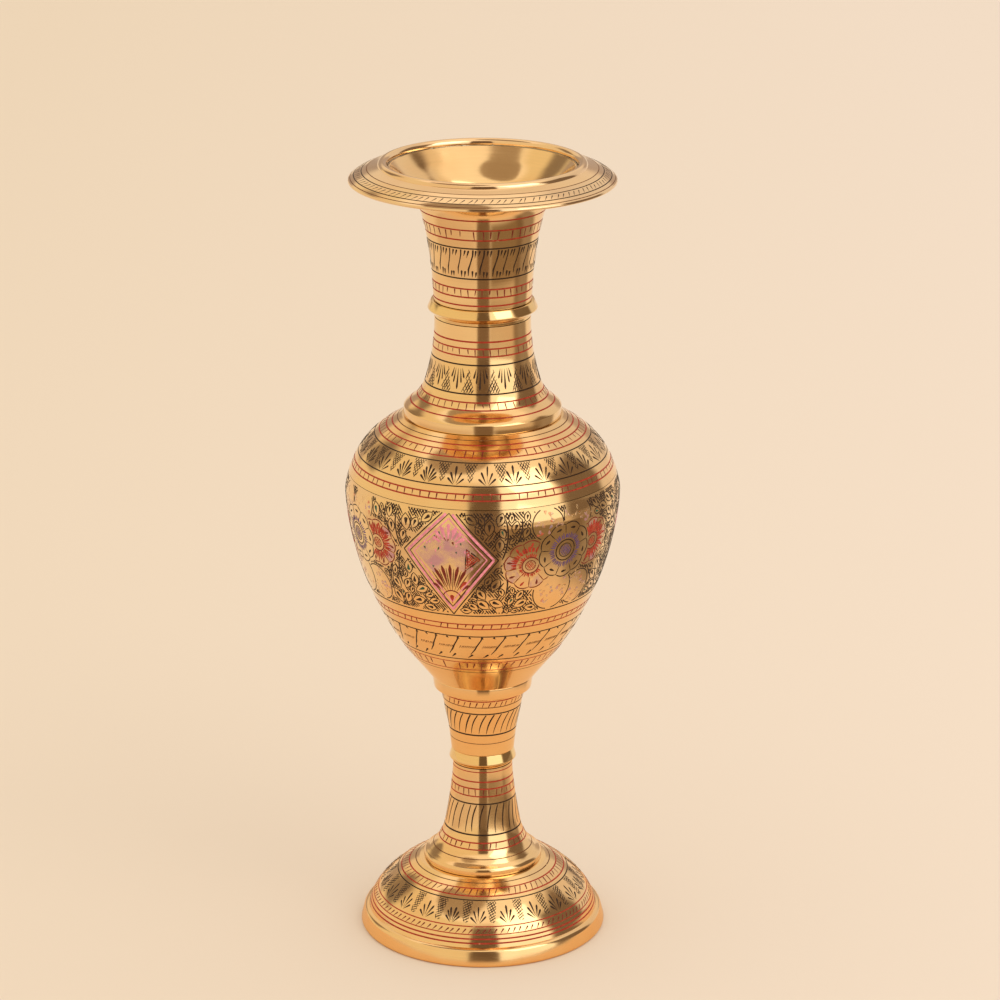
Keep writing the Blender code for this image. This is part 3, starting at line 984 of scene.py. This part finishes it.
def leaf(inks, ground, middle, tilt, size):
    """A leaf's outline with one fat cut down its middle, where there is room for it."""
    way = pointing(tilt)
    long, wide = size / 2, 0.30 * size
    rim = [
        (middle[0] + long * way[0] * c + wide * way[1] * s, middle[1] + long * way[1] * c - wide * way[0] * s)
        for c, s in (sector(30 * k) for k in range(12))
    ]
    if not ground.open([middle, *rim]).all():
        return
    foot, tip = moved(middle, way, -long), moved(middle, way, long)
    for side in (-1, 1):
        inks["outline"].stroke(PANEL, bowed(foot, tip, side * wide), (0.3, 0.5, 0.55, 0.55, 0.5, 0.35))
    ink = inks[chance.choice(("black", "black", "black", "black", "green"))]
    start = moved(foot, way, chance.uniform(0.24, 0.34) * size)
    wedge(ink, PANEL, *start, 0.46 * size, tilt + chance.uniform(-6, 6), chance.uniform(0.16, 0.20) * size)
    ground.take(middle, way, long, wide * 0.95)


def foliage(inks, ground):
    """Stems and leaves that spread from the diamonds' side corners and from the foot of the panel."""
    roots = []
    for centre in DIAMONDS:
        for side in (-1, 1):
            x, y = centre + side * (HALF_WIDE + 1.5), WAIST + side * SLANT
            roots += [(x, y), (x + side * 5, PANEL.depth - 2)]
            for across, down, bow in ((2, -24, 2), (11, -24, 3.5), (3, 24, -2), (12, 24, -3)):
                stem = bowed((x, y), (x + side * across, y + down), side * bow, 14)
                path = [point for point in stem if ground.open([point])[0]]
                if len(path) > 3:
                    line(inks["outline"], PANEL, path, 0.75)
                    for a, b in zip(path, path[1:]):
                        ground.take(toward(a, b, 0.5), (0.0, 1.0), 1.1, 0.6)

    def grow(spot, size):
        if ground.open([spot])[0]:
            root = min(roots, key=lambda r: math.hypot(round_to(spot[0] - r[0]), 1.3 * (spot[1] - r[1])))
            tilt = math.degrees(math.atan2(round_to(spot[0] - root[0]), root[1] - spot[1]))
            leaf(inks, ground, spot, tilt + chance.uniform(-24, 24), size)

    pitch_x, pitch_y = 7.6, 7.0
    spots = [
        ((i + 0.5 * (j % 2)) * pitch_x + chance.uniform(-1, 1), 2.5 + j * pitch_y + chance.uniform(-0.8, 0.8))
        for j in range(int(PANEL.depth / pitch_y) + 1)
        for i in range(int(PANEL.round / pitch_x))
    ]
    chance.shuffle(spots)
    sizes = [chance.uniform(8.6, 10.6) for _ in spots]
    for tries, small, large in ((9000, 7.4, 9.0), (9000, 6.0, 7.2), (6000, 4.8, 5.8)):
        spots += [(chance.uniform(0, PANEL.round), chance.uniform(2, PANEL.depth - 2)) for _ in range(tries)]
        sizes += [chance.uniform(small, large) for _ in range(tries)]
    for spot, size in zip(spots, sizes):
        grow(spot, size)


def hatched_ground(ink, ground):
    """Crossed cuts in the bits of ground that the leaves left over."""
    steps = np.arange(0.4, PANEL.depth - 0.4, 0.35)
    for tilt, pitch, bare in ((38, 1.35, -0.2), (-34, 1.5, 0.0)):
        def rough(point):
            return noise.noise(Vector((point[0] * 0.16, point[1] * 0.16, 0))) > bare

        slope, lean = math.tan(math.radians(tilt)), math.cos(math.radians(tilt))
        for k in range(int(PANEL.round / (pitch / lean))):
            start = k * pitch / lean + chance.uniform(-0.12, 0.12)
            points = np.stack([start + steps * slope, steps], axis=1)
            path = [point if free else None for point, free in zip(points.tolist(), ground.open(points))]
            for run in stretches(path, rough, 3, 14):
                cut = [run[0], toward(run[0], run[-1], 0.5), run[-1]]
                ink.stroke(PANEL, cut, (0.6, 1, 0.5), chance.uniform(0.6, 0.8))


def broad_petals(inks):
    """The broad petals: outlines broken where something lies over them, and smears of old colour."""
    for index, (cx, cy, radius) in enumerate(LOBES):
        def shown(point):
            return (
                1.0 < point[1] < PANEL.depth - 1.0
                and not near_disc(*point, DISCS + LOBES[:index], 0.3)
                and all(diamond_depth(*point, centre) < -0.5 for centre in DIAMONDS)
            )

        rim = [moved((cx, cy), sector(9 * k), radius) for k in range(41)]
        for run in stretches(rim, shown, 3):
            inks["outline"].stroke(PANEL, run, [0.55] * len(run))
        for _ in range(26):
            reach = radius * math.sqrt(chance.random()) * 0.88
            x, y = moved((cx, cy), sector(chance.uniform(0, 360)), reach)
            if shown((x, y)) and 4 < y < PANEL.depth - 4:
                ink = inks[chance.choice(("purple_wash", "pink_wash", "pink_wash", "red_wash"))]
                length, tilt = chance.uniform(1.6, 3.2), chance.uniform(0, 360)
                wedge(ink, PANEL, x, y, length, tilt, chance.uniform(0.9, 1.8))


def diamond(inks, cx):
    """A diamond with pink borders, a fan of dark red cuts in its foot and a pink wash above."""
    def outline(depth):
        """The top, right, bottom and left corners, that far inside the diamond's edge."""
        share = 1 - depth / EDGE_DEPTH
        left, right = ((cx + side * HALF_WIDE * share, WAIST + SLANT * side * share) for side in (-1, 1))
        low = WAIST + (PANEL.depth - WAIST) * share
        return [(cx, WAIST - (WAIST - PEAK) * share), right, (cx, low), left]

    for paint, depth, width in (
        ("outline", 0.3, 0.6), ("pink", 2.1, 1.15), ("outline", 3.2, 0.4), ("pink", 5.0, 0.6),
    ):
        for a, b in sides(outline(depth)):
            path = [point for point in (toward(a, b, t / 14) for t in range(15)) if point[1] > 0.5]
            inks[paint].stroke(PANEL, path, [chance.uniform(0.85, 1.1) for _ in path], width)

    top, right, _, left = outline(6.2)
    waist = (cx, WAIST + 3)
    for side, corner in ((-1, left), (1, right)):
        inks["pink_wash"].skin(PANEL, [top, corner, waist])
        inks["pink_wash"].skin(PANEL, [corner, (cx + side * 9.5, WAIST + 11), waist])
    nest = [(cx + 17.2, WAIST + 1), (cx + 8.6, WAIST + 8.2), (cx + 9.6, WAIST - 5.5)]
    for shrink, paint in ((1, "outline"), (0.62, "dark_red")):
        small = [toward(middle_of(nest), point, shrink) for point in nest]
        for a, b in sides(small):
            line(inks[paint], PANEL, [a, toward(a, b, 0.5), b], 0.75)
    hatch(inks["red"], PANEL, nest, (1.25, 40, 0.45), (1.25, -40, 0.45))

    hub, reach = (cx, PANEL.depth - 11.5), 22.5
    for k in range(9):
        share = k / 4 - 1
        tilt = 50 * share
        start = moved(hub, pointing(tilt), 8.5)
        end = moved(hub, pointing(tilt), reach * (1 - 0.12 * abs(share) ** 1.5))
        for _ in range(6):
            if diamond_depth(*end, cx) < 6.5:
                end = toward(start, end, 0.9)
        ink = inks["red" if k == 7 else "dark_red"]
        ink.stroke(PANEL, bowed(start, end, -0.8 * share), (0.2, 0.6, 1.0, 1.45, 1.6, 0.5))
        border = [moved(hub, pointing(tilt + 6.2), reach * t) for t in (0.27, 0.5, 0.74, 0.9)]
        if k < 8 and all(diamond_depth(*point, cx) > 6 for point in border):
            line(inks["brown"], PANEL, border, 0.55)
    arch = [moved(hub, sector(-angle), 5.6) for angle in range(15, 170, 18)]
    inks["dark_red"].stroke(PANEL, arch, [0.6] * len(arch))
    wedge(inks["red"], PANEL, cx, hub[1] + 3.0, 5.6, 0, 2.0)
    for side in (-1, 1):
        path = bowed((cx + side * 0.4, hub[1] + 4.5), (cx + side * 8.5, hub[1] - 5.5), side * 0.5)
        line(inks["brown"], PANEL, path, 0.55)

    for k in range(7):
        share = k / 3 - 1
        start = moved((cx, WAIST - 6), pointing(56 * share), 5)
        wedge(inks["pink"], PANEL, *start, 9 * (1 - 0.4 * abs(share)), 56 * share, 1.9)
    for _ in range(46):
        x, y = cx + chance.uniform(-15, 13), WAIST + chance.uniform(-20, 8)
        if diamond_depth(x, y, cx) > 7 and (y < WAIST - 2 or abs(x - cx) > 9):
            ink = inks[chance.choice(("pink", "pink", "dark_red", "pink", "purple_wash", "green"))]
            length, tilt = chance.uniform(1.4, 2.6), chance.uniform(-30, 30)
            wedge(ink, PANEL, x, y, length, tilt, chance.uniform(0.6, 1.1))


def engrave_panel():
    paints = ("black", "brown", "green", "red", "dark_red", "pink", "purple")
    washes = ("pink_wash", "purple_wash", "red_wash")
    inks = {paint: Ink("panel_" + paint, paint, "bowl") for paint in paints + washes}
    inks["outline"] = Ink("panel_outlines", "black", "bowl")
    ground = Ground()
    for centre in DIAMONDS:
        diamond(inks, centre)
    for index, disc in enumerate(DISCS):
        top_one = index - index % 3
        rosette(inks, disc, DISCS[top_one:top_one + 1] if index % 3 else [])
    broad_petals(inks)
    foliage(inks, ground)
    hatched_ground(Ink("panel_hatching", "black", "bowl"), ground)


# The studio


def between(shader, value, low, high, soft):
    """1 where value lies between low and high, falling off over soft."""
    def step(start, end):
        values = {0: value, 1: start, 2: end, 3: 0.0, 4: 1.0}
        return shader.add("ShaderNodeMapRange", values, interpolation_type="SMOOTHSTEP").outputs[0]

    half = soft / 2
    return shader.math("MULTIPLY", step(low - half, low + half), step(high + half, high - half))


def zoned(shader, colour, heading, level, cover, zones):
    """The colour under zones of (heading span, level span, strength, shade), where cover is 1."""
    for turn, span, strength, shade in zones:
        mask = shader.math("MULTIPLY", between(shader, heading, *turn), between(shader, level, *span))
        mask = shader.math("MULTIPLY", shader.math("MULTIPLY", mask, strength), cover)
        colour = shader.mix(mask, colour, shade)
    return colour


def sideways(shader, x, slope, left, right):
    """left turning into right across x = 0."""
    share = shader.add("ShaderNodeClamp", {0: shader.math("MULTIPLY_ADD", x, slope, 0.5)}).outputs[0]
    return shader.mix(share, left, right)


def floor_paint():
    """Pale paper, painted lighter and whiter towards +X as painted light. For reflected rays only, zones of it
    are painted dark or orange: painted reflections of the dark room in front, the dull bench to the right and an
    orange glow round the vase.
    """
    shader = Shader("floor_paper")
    _, x, y, _ = shader.parts("Object")
    # Painted light: the paper is made lighter and whiter towards +X, where the light falls stronger.
    paper = sideways(shader, x, 0.9, (0.770, 0.655, 0.515), (0.805, 0.705, 0.610))
    # Painted reflections: these zones change the floor's colour only where it is seen in the brass, painting it
    # dark or orange.
    mirrored = shader.add("ShaderNodeLightPath").outputs["Is Glossy Ray"]
    paper = zoned(shader, paper, shader.heading(x, y), shader.reach(x, y), mirrored, (
        ((-4, 4, 0.1), (-1, 0.30, 0.24), 0.75, (0.78, 0.48, 0.23)),
        ((0.28, 1.6, 0.25), (0.36, 1.0, 0.2), 1.0, (0.22, 0.155, 0.095)),
        ((0.28, 1.6, 0.25), (1.0, 90, 0.2), 0.7, (0.45, 0.33, 0.21)),
        ((-1.9, -0.25, 0.3), (0.32, 0.95, 0.3), 0.55, (0.52, 0.37, 0.27)),
        ((1.35, 2.15, 0.2), (0.32, 90, 0.12), 0.8, (0.16, 0.11, 0.07)),
        ((-0.22, 0.27, 0.06), (0.25, 90, 0.05), 1.0, (0.17, 0.11, 0.07)),
    ))
    return shader.made({"Base Color": paper, "Roughness": 0.9, "Specular IOR Level": 0.1})


def make_stage():
    mesh = bpy.data.meshes.new("floor")
    corners = 96
    rim = [(*moved((0, 0), sector(360 * i / corners), 14), 0) for i in range(corners)]
    mesh.from_pydata(rim, [], [list(range(corners))])
    mesh.materials.append(floor_paint())
    floor = bpy.data.objects.new("floor", mesh)
    bpy.context.collection.objects.link(floor)


class Sky(Shader):
    """The same node helpers for a world."""

    def __init__(self, name):
        self.world = bpy.data.worlds.new(name)
        self.world.use_nodes = True
        self.tree = self.world.node_tree
        self.tree.nodes.clear()
        self.surface = self.add("ShaderNodeBackground")
        self.add("ShaderNodeOutputWorld", {"Surface": self.surface.outputs[0]})


def make_world():
    """Cream for the camera, soft white for the floor, and bright and dull sides for reflections."""
    sky = Sky("studio")
    bpy.context.scene.world = sky.world
    way, x, y, up = sky.parts("Generated")
    shade = zoned(sky, (0.86, 0.69, 0.50), sky.heading(x, y), up, 1.0, (
        ((-2.7, -0.2, 0.3), (-2, 2, 0.1), 1, (0.88, 0.69, 0.43)),
        ((0.27, 1.25, 0.12), (-2, 2, 0.1), 1, (1.30, 1.17, 0.98)),
        ((1.9, 2.8, 0.3), (-2, 2, 0.1), 1, (0.80, 0.67, 0.55)),
        ((1.28, 2.1, 0.16), (-2, 0.68, 0.1), 1, (0.20, 0.135, 0.09)),
        ((-4, 4, 0.1), (0.80, 2, 0.1), 1, (1.10, 0.92, 0.72)),
        ((-4, -2.5, 0.2), (0.0, 0.28, 0.1), 1, (0.45, 0.34, 0.26)),
        ((2.6, 4, 0.2), (0.0, 0.28, 0.1), 1, (0.50, 0.38, 0.30)),
        ((-2.5, -2.05, 0.2), (0.2, 0.62, 0.14), 1, (0.28, 0.205, 0.14)),
        ((-0.22, 0.27, 0.06), (-2, 0.74, 0.08), 1, (0.16, 0.10, 0.06)),
    ))
    aim = Vector((-0.25, -0.08, 0.965)).normalized()
    hood = sky.add("ShaderNodeVectorMath", {0: way, 1: aim}, operation="DOT_PRODUCT").outputs["Value"]
    shade = sky.mix(between(sky, hood, 0.945, 2, 0.015), shade, (0.40, 0.28, 0.18))
    paths = sky.add("ShaderNodeLightPath").outputs
    # The backdrop seen by the camera is painted lighter and whiter towards +X, the same painted light as on the
    # floor.
    horizon = sideways(sky, x, 6.0, (0.845, 0.67, 0.465), (0.885, 0.735, 0.570))
    seen = sky.mix(paths["Is Camera Ray"], (1.10, 1.01, 0.90), horizon)
    sky.feed(sky.surface.inputs["Color"], sky.mix(paths["Is Glossy Ray"], seen, shade))


def make_light():
    light = bpy.data.lights.new("softbox", "AREA")
    light.energy = 9
    light.size = 1.6
    light.color = (1.0, 0.95, 0.88)
    obj = bpy.data.objects.new("softbox", light)
    bpy.context.collection.objects.link(obj)
    obj.location = (1.5, -1.3, 2.1)
    aim = Vector((0, 0, 0.2)) - obj.location
    obj.rotation_euler = aim.to_track_quat("-Z", "Y").to_euler()


def make_camera():
    lens = bpy.data.cameras.new("camera")
    lens.lens = 137.29
    lens.shift_x = 0.01733
    camera = bpy.data.objects.new("camera", lens)
    bpy.context.collection.objects.link(camera)
    camera.location = (0, -2.0652, 0.9366)
    camera.rotation_euler = (math.radians(90 - 18.163), 0, 0)
    bpy.context.scene.camera = camera


make_foot()
make_lower_stem()
make_collar("stem_collar", "stem_ring", 14.4, (17.8, 109.0), (19.3, 103.2), (17.1, 100.7))
make_upper_stem()
make_bowl()
make_lower_neck()
make_collar("neck_collar", "neck_ring", 24.5, (29.0, 378.0), (30.9, 373.2), (27.1, 368.7))
make_upper_neck()
make_mouth_ring()
make_solder()

engrave_upper_neck()
engrave_lower_neck()
engrave_shoulder()
engrave_panel()
engrave_bowl_base()
engrave_stems()
engrave_foot()
engrave_brim()
for ink in Ink.made:
    ink.finish()

make_stage()
make_world()
make_light()
make_camera()
bpy.context.scene.view_settings.view_transform = "Standard"
